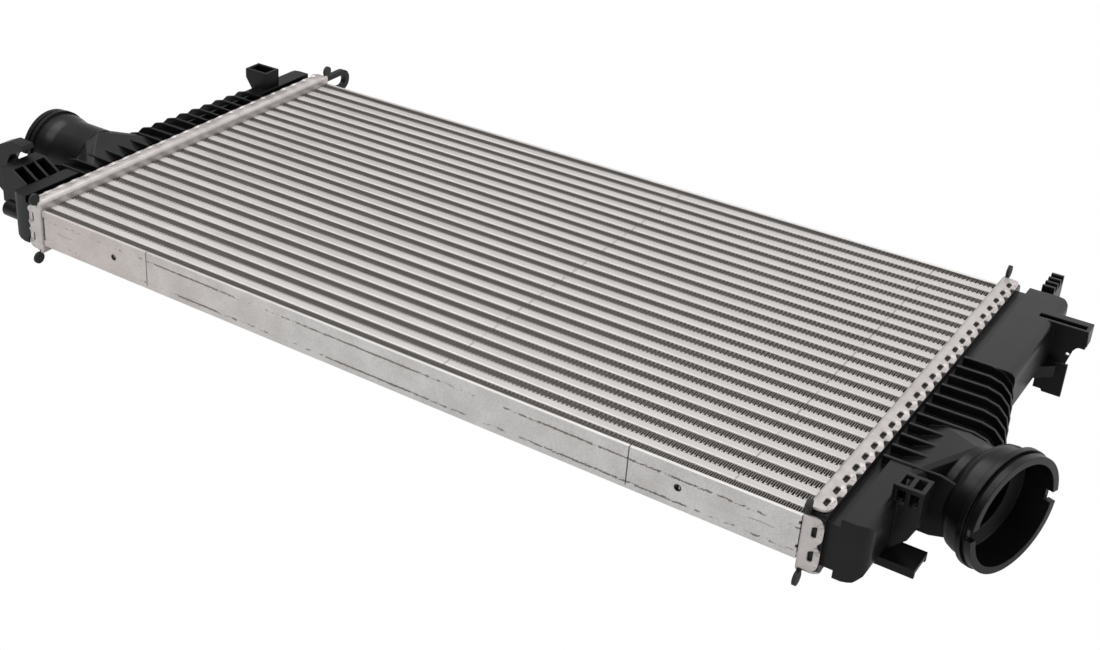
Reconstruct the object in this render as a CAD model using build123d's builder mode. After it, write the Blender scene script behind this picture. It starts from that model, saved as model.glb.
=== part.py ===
from build123d import *
from collections import namedtuple
from math import cos, radians, sin
import os

# Air-to-air charge cooler of a turbocharged engine, lying on its back as it would on a bench.
# X runs along the tubes, Y across them and Z up, out of the core's front face.
# Everything is drawn about the middle of the core and set on the ground at the end.
# All sizes are in millimetres.

# Tubes: flat, hollow, brazed into both header plates
tube_count = 23
tube_pitch = 16.36
tube_thickness = 7.7
tube_depth = 32.0
tube_corner = 1.1
tube_wall = 0.7
tube_span = 687.0
tube_end_reach = 5.0
braze_gap = 0.1

# Turbulator strip folded inside each tube
turbulator_sheet = 0.5
turbulator_folds = 4
turbulator_end_gap = 4.0
turbulator_gap = 0.3

# Fin rows between the tubes, one more than there are tubes
fin_inset = 0.5

# Side plates that close the core's two long edges
side_sheet = 1.5
side_lip = 2.8
side_lip_sheet = 0.8
side_lip_gap = 0.1
side_slit_from_middle = 221.5
side_slit_width = 0.9
side_slit_bridge = 1.6
side_hole_from_middle = 259.0
side_hole_radius = 2.1
side_end_window = 22.0
side_end_window_width = 2.2
side_dent_radius = 1.6
side_dent_sides = 8
side_dent_heights = (10.8, -7.3)

# Header plates: shallow pans whose rims are crimped over the tanks' feet
header_sheet = 1.6
header_gap = 0.6
header_rim_width = 14.7
header_bend = 3.0
mouth_gap_y = 5.6
mouth_gap_z = 1.6
window_count = 24
window_end_margin = 15.3
window_width = 8.2
window_slope = 72
window_height = 3.2
window_from_rim_edge = 4.2
rim_notch_depth = 2.0
rim_notch_width = 6.0
rim_notch_floor = 2.4
end_window_offset = 9.2
corner_relief = 4.5
corner_relief_start = 0.4
rim_corner = 3.6

# Rubber gaskets between header and tank, with a pull tab at each corner
gasket_thickness = 3.0
gasket_width = 5.2
gasket_fit = 0.2
gasket_seat = 0.1
tab_radius = 5.2
tab_sides = 14
tab_thickness = 2.4
tab_neck = 2.6
tab_out_y = 1.1
tab_out_z = 3.0

# Moulded tanks: foot, body, smooth end sections and ribs
foot_depth = 10.2
foot_corner = 6.0
foot_fit = 0.3
tank_wall = 3.0
body_corner = 11.0
body_end_inset = 4.0
plan_corner = 10.0
land_width = 8.0
raised_step = 0.3
raised_top_corner = 6.0
raised_bottom_corner = 14.0
mouth_step = 1.0
mouth_clearance = 1.2
near_reach = 38.0
rib_pitch = 15.8
rib_thickness = 2.4
rib_proud = 0.5
rib_height = 6.6
rib_start = 12.5
rib_corner = 19.0
rib_overlap = 1.0
right_rib_count = 11
right_first_rib = 143.7
right_far_reach = 50.5
right_first_reach = 52.0
right_widest_reach = 70.0
right_widest_rib = 5
left_rib_count = 16
left_first_rib = 84.0
left_far_reach = 40.0
left_first_reach = 52.0
left_widest_reach = 60.0
left_widest_rib = 8
ladder_from_foot = 27.0
ladder_height = 4.4
ladder_cells = 6

# Ports: distances from the tank's foot and the core's middle line, then the walls round the bore
right_port_reach = 89.1
right_port_y = -84.3
right_port_turn = 20.0
right_bore_radius = 37.8
right_neck_wall = -5.8
right_neck_back = 30.0
right_sleeve_wall = 2.6
right_collar_wall = 6.2
right_lip_wall = 5.2
left_port_reach = 114.8
left_port_y = -67.7
left_port_turn = 0.0
left_bore_radius = 31.2
left_neck_wall = 0.1
left_neck_back = 58.8
left_sleeve_wall = 2.8
left_collar_wall = 5.0
left_lip_wall = 4.4
passage_wall = 3.0
lip_length = 7.4
groove_width = 2.4
groove_depth = 2.0
collar_width = 4.0
sleeve_length = 17.0
shoulder_length = 7.0
shoulder_crown = 4.0
shoulder_crown_drop = 1.0
bore_depth = 22.0
stop_step = 4.0
lip_slot_width = 8.5
corner_chords = 3
duct_root = 22.0
duct_rise = 1.0
duct_corner = 12.0
neck_roundness = 0.98
duct_near_spread = 54.0
duct_far_spread = 62.0

# Brackets on the right tank
wall = 2.6
arm_from_foot = 32.0
arm_length = 43.0
arm_y = 146.0
arm_width = 16.0
arm_slot = 6.2
arm_height = 15.0
arm_web_bottom = -9.0
arm_shelf_top = -10.0
arm_shelf_thickness = 9.6
arm_shelf_width = 27.0
arm_shelf_length = 29.6
arm_leg_bottom = -38.0
arm_leg_width = 21.0
arm_leg_from_end = 9.0
arm_hole_radius = 1.6
comb_from_foot = 24.5
comb_width = 9.6
comb_length = 48.5
comb_height = 19.0
comb_webs = 4
comb_pitch = 8.2
cage_from_foot = 33.2
cage_length = 20.0
cage_width = 18.0
cage_height = 16.0
cage_bar = 3.0
cage_plate = 8.0
cage_plate_corner = 8.0
cage_y = -139.0
cage_bottom = 16.0
foot_bar_from_foot = 24.0
foot_bar_length = 34.5
foot_bar_width = 24.0
foot_bar_y = -144.0
foot_bar_sheet = 3.4
foot_bar_lip = 3.0

# Brackets on the left tank
eye_from_foot = 13.2
eye_thickness = 6.0
eye_height = 22.0
eye_slot = 12.0
eye_centre_z = 3.0
eye_length = 65.0
pocket_from_foot = 19.2
pocket_length = 26.6
pocket_width = 19.4
pocket_y = 135.5
pocket_height = 18.0
pocket_floor = 9.0
pocket_slope = 8.0
box_near = -173.0
box_rib_pitch = 12.4
box_ribs = 4
box_root = 32.0
box_reach = 68.2
box_lid = 14.0
box_top = 30.0
box_bottom = -3.0
hook_y = -145.0
hook_width = 13.0
peg_y = -180.0
peg_z = -3.0
peg_radius = 7.4
peg_reach = 54.0

# Values worked out from the sizes above
fin_height = tube_pitch - tube_thickness
tube_half_width = (tube_count - 1) * tube_pitch / 2 + tube_thickness / 2
core_half_width = tube_half_width + fin_height
header_half_length = tube_half_width + mouth_gap_y + gasket_width + gasket_fit + header_sheet
header_half_height = tube_depth / 2 + mouth_gap_z + gasket_width + gasket_fit + header_sheet
header_face = tube_span / 2 + header_gap
header_top = header_face + header_sheet
rim_edge = header_face + header_rim_width
window_pitch = 2 * (header_half_length - window_end_margin) / (window_count - 1)
gasket_face = header_top + gasket_thickness
foot_face = gasket_face + gasket_seat
foot_end = foot_face + foot_depth
foot_half_length = header_half_length - header_sheet - foot_fit
foot_half_height = header_half_height - header_sheet - foot_fit
body_half_length = foot_half_length - body_end_inset
raised_half = foot_half_height - raised_step
rib_half = foot_half_height + rib_proud
body_half = rib_half - rib_height
duct_half = body_half + duct_rise
tube_half_length = header_top + tube_end_reach
side_depth = tube_depth - 2 * fin_inset + 2 * side_lip_gap


def row_y(row, rows):
    """Middle of one row, counted from the near edge of the core."""
    return (row - (rows - 1) / 2) * tube_pitch


def xz_plane(y):
    """Upright plane across the tanks at a distance along them."""
    return Plane.XZ.offset(-y)


def header_pan():
    """Pressed header: slotted base, four rims, windows and a notched rim edge."""
    rim_middle = (header_face + rim_edge) / 2
    window_x = rim_edge - window_from_rim_edge - window_height / 2
    inner_length = header_half_length - header_sheet
    inner_height = header_half_height - header_sheet
    with Locations((rim_middle, 0, 0)):
        Box(header_rim_width, 2 * header_half_length, 2 * header_half_height)
    fillet(faces().sort_by(Axis.X)[0].edges(), header_bend)
    with Locations(((header_top + rim_edge) / 2, 0, 0)):
        Box(rim_edge - header_top, 2 * inner_length, 2 * inner_height, mode=Mode.SUBTRACT)
    # The rims stop short of each corner so that they can fold, and their free corners are cut
    relief_x = header_top + corner_relief_start
    with Locations(((relief_x + rim_edge) / 2, 0, 0)):
        with GridLocations(1, 2 * header_half_length, 1, 2):
            with Locations((0, 0, header_half_height), (0, 0, -header_half_height)):
                Box(rim_edge - relief_x, 2 * corner_relief, 2 * corner_relief, mode=Mode.SUBTRACT)
    free_edges = edges().group_by(Axis.X)[-1]
    chamfer(free_edges.filter_by(lambda edge: edge.length < 2 * header_sheet), rim_corner)
    # Slots for the tubes, with room for the braze
    with BuildSketch(Plane.YZ.offset(header_face)) as slots:
        with GridLocations(tube_pitch, 1, tube_count, 1):
            Rectangle(tube_thickness + 2 * braze_gap, tube_depth + 2 * braze_gap)
        chamfer(vertices(), tube_corner)
    extrude(slots.sketch, amount=header_sheet, mode=Mode.SUBTRACT)
    # Windows through both long rims
    with BuildSketch(Plane.XY) as long_windows:
        with Locations((window_x, 0)):
            with GridLocations(1, window_pitch, 1, window_count):
                Trapezoid(window_width, window_height, window_slope, rotation=90)
    extrude(long_windows.sketch, amount=header_half_height, both=True, mode=Mode.SUBTRACT)
    # Windows through both short rims
    with BuildSketch(Plane.XZ) as end_windows:
        with Locations((window_x, 0)):
            with GridLocations(1, 2 * end_window_offset, 1, 2):
                Trapezoid(window_width, window_height, window_slope, rotation=90)
    extrude(end_windows.sketch, amount=header_half_length, both=True, mode=Mode.SUBTRACT)
    # Notches between the crimped lobes of the rim edge
    with BuildSketch(Plane.XY) as notches:
        with Locations((rim_edge, 0)):
            with GridLocations(1, window_pitch, 1, window_count - 1):
                Polygon(
                    (0, -rim_notch_width / 2),
                    (0, rim_notch_width / 2),
                    (-rim_notch_depth, rim_notch_floor / 2),
                    (-rim_notch_depth, -rim_notch_floor / 2),
                    align=None,
                )
    extrude(notches.sketch, amount=header_half_height, both=True, mode=Mode.SUBTRACT)


def gasket_ring():
    """Flat rubber frame with a many-sided pull tab on a thin neck at each corner."""
    ring_half_length = header_half_length - header_sheet - gasket_fit
    ring_half_height = header_half_height - header_sheet - gasket_fit
    inner_y = ring_half_length - gasket_width
    inner_z = ring_half_height - gasket_width
    tab_y = header_half_length + tab_out_y
    tab_z = header_half_height + tab_out_z
    with BuildSketch(Plane.YZ.offset(header_top)) as ring:
        RectangleRounded(2 * ring_half_length, 2 * ring_half_height, foot_corner)
        Rectangle(2 * inner_y, 2 * inner_z, mode=Mode.SUBTRACT)
    extrude(ring.sketch, amount=gasket_thickness)
    with BuildSketch(Plane.YZ.offset(gasket_face - tab_thickness)) as tabs:
        for side_y in (-1, 1):
            for side_z in (-1, 1):
                tab = (side_y * tab_y, side_z * tab_z)
                with Locations(tab):
                    RegularPolygon(tab_radius, tab_sides)
                with BuildLine():
                    neck = Line(tab, (side_y * inner_y, side_z * inner_z))
                trace(neck, tab_neck)
    extrude(tabs.sketch, amount=tab_thickness)


def quarter_turn(x, y, radius, first_angle):
    """Quarter circle about a point as a few chords, anticlockwise, so that it needs few faces."""
    angles = [radians(first_angle + 90 * step / corner_chords) for step in range(corner_chords + 1)]
    return [(x + radius * cos(angle), y + radius * sin(angle)) for angle in angles]


def flank_section(y, start, reach, half, top_corner, bottom_corner):
    """Upright section of the tank at one place along it, rounded on its outer side."""
    outer = foot_face + reach
    with BuildSketch(xz_plane(y)) as section:
        Polygon(
            (start, half),
            (start, -half),
            *quarter_turn(outer - bottom_corner, bottom_corner - half, bottom_corner, -90),
            *quarter_turn(outer - top_corner, half - top_corner, top_corner, 0),
            align=None,
        )
    return section.sketch


def body_section(y, reach):
    """Section of the body under the ribs."""
    return flank_section(y, foot_face, reach - rib_height, body_half, body_corner, body_corner)


def air_section(y, reach):
    """Section of the air space inside the body."""
    depth = reach - rib_height - tank_wall
    corner = body_corner - tank_wall
    return flank_section(y, foot_face, depth, body_half - tank_wall, corner, corner)


def tank_shell(shape):
    """Outside of the tank without its port: body, widening middle, smooth ends and foot."""
    end = body_half_length
    extrude(body_section(end, shape.first_reach), amount=end - shape.first_y)
    wide_start = body_section(shape.first_y, shape.first_reach)
    wide_end = body_section(shape.widest_y, shape.widest_reach)
    loft([wide_start, wide_end], ruled=True)
    extrude(wide_end, amount=shape.widest_y - shape.last_y)
    extrude(body_section(shape.last_y, near_reach), amount=shape.last_y + end)
    # Smooth full-height lengths at both ends
    start = foot_end + land_width
    corners = (raised_half, raised_top_corner, raised_bottom_corner)
    far_section = flank_section(end, start, shape.far_reach, *corners)
    extrude(far_section, amount=end - shape.first_y)
    near_section = flank_section(shape.last_y + rib_overlap, start, near_reach, *corners)
    extrude(near_section, amount=shape.last_y + rib_overlap + end)
    # Rounded ends as seen from above
    near_outer, far_outer = foot_face + near_reach, foot_face + shape.far_reach
    widest = foot_face + shape.widest_reach
    with BuildSketch(Plane.XY) as plan:
        Polygon(
            (foot_face, -end),
            *quarter_turn(near_outer - plan_corner, plan_corner - end, plan_corner, -90),
            (near_outer, shape.last_y),
            (widest, shape.last_y),
            (widest, shape.first_y),
            (far_outer, shape.first_y),
            *quarter_turn(far_outer - plan_corner, end - plan_corner, plan_corner, 0),
            (foot_face, end),
            align=None,
        )
    extrude(plan.sketch, amount=rib_half, both=True, mode=Mode.INTERSECT)
    with BuildSketch(Plane.YZ.offset(foot_face)) as foot:
        RectangleRounded(2 * foot_half_length, 2 * foot_half_height, foot_corner)
    extrude(foot.sketch, amount=foot_depth)


def tank_ribs(shape, rib_count):
    """Parallel stiffening ribs that follow the outside of the tank."""
    start = foot_face + rib_start
    for rib in range(rib_count):
        middle = shape.first_y - rib * rib_pitch
        share = min((shape.first_y - middle) / (shape.first_y - shape.widest_y), 1)
        reach = shape.first_reach + share * (shape.widest_reach - shape.first_reach)
        outline = flank_section(middle, start, reach, rib_half, rib_corner, rib_corner)
        extrude(outline, amount=rib_thickness / 2, both=True)


def port_frame(x, y, turn):
    """Plane whose normal is the port's axis, at the front of the collar."""
    return Plane(
        origin=(x, y, 0),
        x_dir=(sin(radians(turn)), cos(radians(turn)), 0),
        z_dir=(cos(radians(turn)), -sin(radians(turn)), 0),
    )


def port_section(x, y, turn):
    """Upright plane through the port's axis, its X along the axis."""
    return Plane(
        origin=(x, y, 0),
        x_dir=(cos(radians(turn)), -sin(radians(turn)), 0),
        z_dir=(-sin(radians(turn)), -cos(radians(turn)), 0),
    )


def port_axis(x, y, turn):
    """Line that the port is turned about."""
    return Axis((x, y, 0), (cos(radians(turn)), -sin(radians(turn)), 0))


def port_outside(x, y, turn, neck, back, sleeve, collar, lip):
    """Neck, bell-shaped sleeve, collar, groove and lip, turned about the port's axis."""
    with BuildSketch(port_section(x, y, turn)) as outline:
        with BuildLine():
            Polyline(
                (-back, 0),
                (-back, neck),
                (-sleeve_length - shoulder_length, neck),
                (-sleeve_length, sleeve - shoulder_crown_drop),
                (-sleeve_length + shoulder_crown, sleeve),
                (-collar_width, sleeve),
                (-collar_width, collar),
                (0, collar),
                (0, lip - groove_depth),
                (groove_width, lip - groove_depth),
                (groove_width, lip),
                (lip_length, lip),
                (lip_length, 0),
                close=True,
            )
        make_face()
    revolve(outline.sketch, axis=port_axis(x, y, turn))


def port_inside(x, y, turn, neck, back, bore):
    """Bore for the hose end, a stop step, and the passage behind it."""
    with BuildSketch(port_section(x, y, turn)) as outline:
        with BuildLine():
            Polyline(
                (-back, 0),
                (-back, neck - passage_wall),
                (lip_length - bore_depth - stop_step, neck - passage_wall),
                (lip_length - bore_depth, bore),
                (lip_length, bore),
                (lip_length, 0),
                close=True,
            )
        make_face()
    revolve(outline.sketch, axis=port_axis(x, y, turn), mode=Mode.SUBTRACT)


def lip_slots(x, y, turn, lip):
    """Two square slots across the lip that key the hose's clip."""
    with BuildSketch(port_frame(x, y, turn).offset(groove_width)) as keys:
        with GridLocations(2 * lip, 1, 2, 1):
            Rectangle(lip / 2, lip_slot_width)
    extrude(keys.sketch, amount=lip_length, mode=Mode.SUBTRACT)


def ring_of_corners(half_width, half_height, radius):
    """Outline of four rounded corners, each drawn as the same few chords."""
    x, y = half_width - radius, half_height - radius
    corners = ((x, y, 0), (-x, y, 90), (-x, -y, 180), (x, -y, 270))
    points = []
    for corner_x, corner_y, first_angle in corners:
        points += quarter_turn(corner_x, corner_y, radius, first_angle)
    return points


def duct(frame, middle_y, back, radius, inset, mode):
    """Funnel from the tank's flank to the port's round neck."""
    half_span = (duct_near_spread + duct_far_spread) / 2 - inset
    across = radius - inset
    with BuildSketch(Plane.YZ.offset(foot_face + duct_root)) as root:
        with Locations((middle_y + (duct_far_spread - duct_near_spread) / 2, 0)):
            Polygon(
                *ring_of_corners(half_span, duct_half - inset, duct_corner - inset),
                align=None,
            )
    with BuildSketch(frame.offset(-back)) as neck:
        Polygon(*ring_of_corners(across, across, neck_roundness * across), align=None)
    loft([root.sketch, neck.sketch], ruled=True, mode=mode)


def tank_cavity(shape):
    """Air space: a wide mouth round the tube ends, then the space inside the body."""
    mouth_half_length = tube_half_width + mouth_gap_y - mouth_step
    mouth_half_height = tube_depth / 2 + mouth_gap_z
    mouth_depth = tube_end_reach - gasket_thickness + mouth_clearance
    with Locations((foot_face + mouth_depth / 2, 0, 0)):
        Box(mouth_depth, 2 * mouth_half_length, 2 * mouth_half_height, mode=Mode.SUBTRACT)
    end = body_half_length - 2 * tank_wall
    extrude(air_section(end, shape.first_reach), amount=end - shape.first_y, mode=Mode.SUBTRACT)
    wide_start = air_section(shape.first_y, shape.first_reach)
    wide_end = air_section(shape.widest_y, shape.widest_reach)
    loft([wide_start, wide_end], ruled=True, mode=Mode.SUBTRACT)
    near_start = shape.last_y + tank_wall
    extrude(wide_end, amount=shape.widest_y - near_start, mode=Mode.SUBTRACT)
    extrude(air_section(near_start, near_reach), amount=near_start + end, mode=Mode.SUBTRACT)


def arm_bracket():
    """Arm with a slot open at the top, a web below it, a thick gusset shelf and a leg."""
    start = foot_face + arm_from_foot
    end = start + arm_length
    root = start - wall
    top = raised_half
    leg_end = end - arm_leg_from_end
    leg_start = leg_end - arm_leg_width
    middle = (root + end) / 2
    with Locations((middle, arm_y + arm_width / 2, top - arm_height / 2)):
        Box(end - root, arm_width, arm_height)
    slot_length = arm_length - 3 * wall
    with Locations((end - wall - slot_length / 2, arm_y + wall + arm_slot / 2, top)):
        Box(slot_length, arm_slot, 2 * (arm_height - wall), mode=Mode.SUBTRACT)
    # Web down to the shelf, with a stepped outer edge and a small hole
    with BuildSketch(xz_plane(arm_y + wall)) as web:
        with BuildLine():
            Polyline(
                (root, top),
                (end, top),
                (end + 1, top - 12),
                (end - 6, top - 16),
                (end - 8, top - 19),
                (end - 10, top - 27),
                (leg_end - 2, arm_web_bottom),
                (root, arm_web_bottom - wall),
                close=True,
            )
        make_face()
        with Locations((end - 11, top - 23)):
            Circle(arm_hole_radius, mode=Mode.SUBTRACT)
    extrude(web.sketch, amount=wall)
    with BuildSketch(Plane.XY.offset(arm_shelf_top - arm_shelf_thickness)) as shelf:
        with BuildLine():
            Polyline(
                (root, arm_y + wall),
                (root + arm_shelf_length, arm_y + wall),
                (root + arm_shelf_length, arm_y - 6),
                (root + 8, arm_y - arm_shelf_width),
                (root, arm_y - arm_shelf_width),
                close=True,
            )
        make_face()
    extrude(shelf.sketch, amount=arm_shelf_thickness)
    with BuildSketch(xz_plane(arm_y + wall)) as leg:
        with BuildLine():
            Polyline(
                (leg_start, arm_shelf_top),
                (leg_end, arm_shelf_top),
                (leg_end, arm_leg_bottom),
                (leg_start + 7, arm_leg_bottom),
                (leg_start + 6, arm_leg_bottom + 2),
                (leg_start, arm_leg_bottom + 2),
                close=True,
            )
        make_face()
    extrude(leg.sketch, amount=wall)


def comb_bracket():
    """Short arm past the tank's far end, with a floor, one side and upright webs."""
    start = foot_face + comb_from_foot
    root = body_half_length - plan_corner
    tip = root + comb_length
    top = raised_half
    middle_x = start + comb_width / 2
    middle_y = (root + tip) / 2
    with Locations((middle_x, middle_y, top - comb_height + wall / 2)):
        Box(comb_width, comb_length, wall)
    with Locations((start + comb_width - wall / 2, middle_y, top - comb_height / 2 - wall)):
        Box(wall, comb_length, comb_height - 2 * wall)
    for web in range(comb_webs):
        with Locations((middle_x, tip - wall / 2 - web * comb_pitch, top - comb_height / 2)):
            Box(comb_width, wall, comb_height)


def cage_bracket():
    """Clip seat: an open frame of two cells over a rounded plate, beside the duct."""
    start = foot_face + cage_from_foot
    end = start + cage_length
    near = cage_y - cage_width / 2
    cell = (cage_length - 3 * cage_bar) / 2
    cell_width = cage_width - 2 * cage_bar
    with BuildSketch(xz_plane(near + cage_plate)) as plate:
        with BuildLine():
            Polyline(
                (start - 14, 0),
                (start, cage_bottom),
                (end, cage_bottom),
                (end, cage_bottom - 9),
                (end - 5, -5),
                (end - 20, -21),
                (start - 12, -21),
                close=True,
            )
        make_face()
        fillet(vertices().group_by(Axis.Y)[0], cage_plate_corner)
    extrude(plate.sketch, amount=cage_plate)
    with Locations((start + cage_length / 2, cage_y, cage_bottom + cage_height / 2)):
        Box(cage_length, cage_width, cage_height)
        with GridLocations(cell + cage_bar, 1, 2, 1):
            Box(cell, cell_width, cage_height, mode=Mode.SUBTRACT)
            Box(cell, cage_width, cage_height - 2 * cage_bar, mode=Mode.SUBTRACT)


def foot_bar():
    """Flat shelf under the duct, with a turned-down lip on each side."""
    start = foot_face + foot_bar_from_foot
    middle = start + foot_bar_length / 2
    bottom = -raised_half - foot_bar_lip / 2
    with Locations((middle, foot_bar_y, -raised_half + foot_bar_sheet / 2)):
        Box(foot_bar_length, foot_bar_width, foot_bar_sheet)
    with Locations((middle, foot_bar_y, bottom)):
        with GridLocations(1, foot_bar_width - wall, 1, 2):
            Box(foot_bar_length, wall, foot_bar_lip)


def eye_loop():
    """Slotted eye that stands out from the tank's far end."""
    root = body_half_length - 2 * tank_wall
    straight = eye_length - eye_height / 2
    with BuildSketch(Plane.YZ.offset(foot_face + eye_from_foot - eye_thickness / 2)) as eye:
        with Locations((root + straight / 2, eye_centre_z)):
            Rectangle(straight, eye_height)
        with Locations((root + straight, eye_centre_z)):
            Circle(eye_height / 2)
        with Locations((root + straight / 2 + 2 * tank_wall, eye_centre_z)):
            SlotOverall(straight - tank_wall, eye_slot, mode=Mode.SUBTRACT)
    extrude(eye.sketch, amount=eye_thickness)


def pocket_bracket():
    """Open-topped box on the tank's upper side, narrowing to its root."""
    start = foot_face + pocket_from_foot
    end = start + pocket_length
    top = raised_half + pocket_height
    near = pocket_y - pocket_width / 2
    with BuildSketch(xz_plane(near + pocket_width)) as outline:
        with BuildLine():
            Polyline(
                (start, top),
                (end, top),
                (end, top - pocket_floor),
                (end - pocket_slope, raised_half - wall),
                (start, raised_half - wall),
                close=True,
            )
        make_face()
    extrude(outline.sketch, amount=pocket_width)
    with Locations(((start + end) / 2, pocket_y, top - pocket_floor / 2)):
        inner_length, inner_width = pocket_length - 2 * wall, pocket_width - 2 * wall
        Box(inner_length, inner_width, pocket_floor, mode=Mode.SUBTRACT)


def ribbed_box():
    """Corner bracket: outer wall, lid and four ribs with sloping upper edges."""
    start = foot_face + box_root
    end = foot_face + box_reach
    width = (box_ribs - 1) * box_rib_pitch + wall
    for rib in range(box_ribs):
        with BuildSketch(xz_plane(box_near + wall + rib * box_rib_pitch)) as outline:
            with BuildLine():
                Polyline(
                    (start, body_half),
                    (end - box_lid, box_top),
                    (end, box_top),
                    (end, box_bottom),
                    (start - 4, box_bottom - 6),
                    close=True,
                )
            make_face()
        extrude(outline.sketch, amount=wall)
    middle_y = box_near + width / 2
    with Locations((end - wall / 2, middle_y, (box_top + box_bottom) / 2)):
        Box(wall, width, box_top - box_bottom)
    with Locations((end - box_lid / 2, middle_y, box_top - wall / 2)):
        Box(box_lid, width, wall)


def hook():
    """Hook beside the ribbed box, open towards the port."""
    root = foot_face + box_reach - wall
    with BuildSketch(xz_plane(hook_y + hook_width / 2)) as outline:
        with BuildLine():
            Polyline(
                (root, box_bottom),
                (root, box_bottom + 15),
                (root + 17, box_bottom + 16),
                (root + 20, box_top - 8),
                (root + 15, box_top),
                (root + 4, box_top + 5),
                (root - 3, box_top + 8),
                (root - 1, box_top + 12),
                (root + 14, box_top + 13),
                (root + 28, box_top + 7),
                (root + 37, box_top - 4),
                (root + 39, box_top - 20),
                (root + 36, box_bottom - 2),
                (root + 26, box_bottom - 9),
                close=True,
            )
        make_face()
    extrude(outline.sketch, amount=hook_width)


def peg():
    """Round locating peg on the tank's flank."""
    with BuildSketch(Plane.YZ.offset(foot_face + near_reach - raised_bottom_corner)) as outline:
        with Locations((peg_y, peg_z)):
            Circle(peg_radius)
    extrude(outline.sketch, amount=peg_reach - near_reach + raised_bottom_corner)


def ladder(first_rib_y):
    """Low walls along the tank that divide the spaces between the outer ribs into cells."""
    length = ladder_cells * rib_pitch
    x = foot_face + ladder_from_foot
    for level in (-1, 1):
        middle_z = level * (body_half + ladder_height / 2 - 0.5)
        with Locations((x, first_rib_y - length / 2, middle_z)):
            Box(rib_thickness, length, ladder_height + 1)


pieces = []

# Flat tubes
for row in range(tube_count):
    with BuildPart() as tube:
        with BuildSketch(Plane.YZ):
            with Locations((row_y(row, tube_count), 0)):
                Rectangle(tube_thickness, tube_depth)
                chamfer(vertices(), tube_corner)
                inner_width = tube_thickness - 2 * tube_wall
                Rectangle(inner_width, tube_depth - 2 * tube_wall, mode=Mode.SUBTRACT)
        extrude(amount=tube_half_length, both=True)
    tube.part.label = f"tube_{row + 1:02d}"
    pieces.append(tube.part)

# Turbulator strips, one folded strip inside each tube
with BuildPart() as turbulators:
    fold_width = tube_depth - 2 * tube_wall - 2 * tube_corner
    fold_half = tube_thickness / 2 - tube_wall - turbulator_gap
    steps = range(turbulator_folds + 1)
    with BuildSketch(Plane.YZ):
        for row in range(tube_count):
            crest = [row_y(row, tube_count) + fold_half * (-1) ** step for step in steps]
            level = [fold_width * (step / turbulator_folds - 0.5) for step in steps]
            side_a = [(y - turbulator_sheet / 2, z) for y, z in zip(crest, level)]
            side_b = [(y + turbulator_sheet / 2, z) for y, z in zip(crest, level)]
            Polygon(*side_a, *reversed(side_b), align=None)
    extrude(amount=tube_half_length - turbulator_end_gap, both=True)
turbulators.part.label = "turbulators"
pieces.append(turbulators.part)

# Fin rows
for row in range(tube_count + 1):
    with BuildPart() as fin:
        with Locations((0, row_y(row, tube_count + 1), 0)):
            Box(tube_span, fin_height, tube_depth - 2 * fin_inset)
    fin.part.label = f"fin_row_{row + 1:02d}"
    pieces.append(fin.part)

# Side plates
for side, name in ((-1, "side_plate_near"), (1, "side_plate_far")):
    outer = side * (core_half_width + side_sheet)
    with BuildPart() as side_plate:
        with Locations((0, outer - side * side_sheet / 2, 0)):
            Box(tube_span, side_sheet, side_depth)
        # Lips folded over the top and bottom of the last fin row
        lip_z = (side_depth + side_lip_sheet) / 2
        with Locations((0, outer - side * side_lip / 2, 0)):
            with Locations((0, 0, lip_z), (0, 0, -lip_z)):
                Box(tube_span, side_lip, side_lip_sheet)
        # Slits that let the plate give as the core warms, locating holes, then an open end
        # window at the left and two small dents at the right
        with BuildSketch(Plane.XZ):
            with GridLocations(2 * side_slit_from_middle, 1, 2, 1):
                with Locations((0, side_slit_bridge)):
                    Rectangle(side_slit_width, side_depth)
            with GridLocations(2 * side_hole_from_middle, 1, 2, 1):
                Circle(side_hole_radius)
            with Locations(((side_end_window_width - tube_span) / 2, 0)):
                Rectangle(side_end_window_width, side_end_window)
            for height in side_dent_heights:
                with Locations((tube_span / 2, height)):
                    RegularPolygon(side_dent_radius, side_dent_sides)
        extrude(amount=header_half_length, both=True, mode=Mode.SUBTRACT)
    side_plate.part.label = name
    pieces.append(side_plate.part)

# Header plates and gaskets
with BuildPart() as header_right:
    header_pan()
header_right.part.label = "header_right"
pieces.append(header_right.part)

with BuildPart() as header_left:
    header_pan()
    mirror(about=Plane.YZ, mode=Mode.REPLACE)
header_left.part.label = "header_left"
pieces.append(header_left.part)

with BuildPart() as gasket_right:
    gasket_ring()
gasket_right.part.label = "gasket_right"
pieces.append(gasket_right.part)

with BuildPart() as gasket_left:
    gasket_ring()
    mirror(about=Plane.YZ, mode=Mode.REPLACE)
gasket_left.part.label = "gasket_left"
pieces.append(gasket_left.part)

# Shape of a tank: where its ribs start, are widest and end, and how far out it reaches there
Shape = namedtuple("Shape", "first_y widest_y last_y far_reach first_reach widest_reach")

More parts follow.
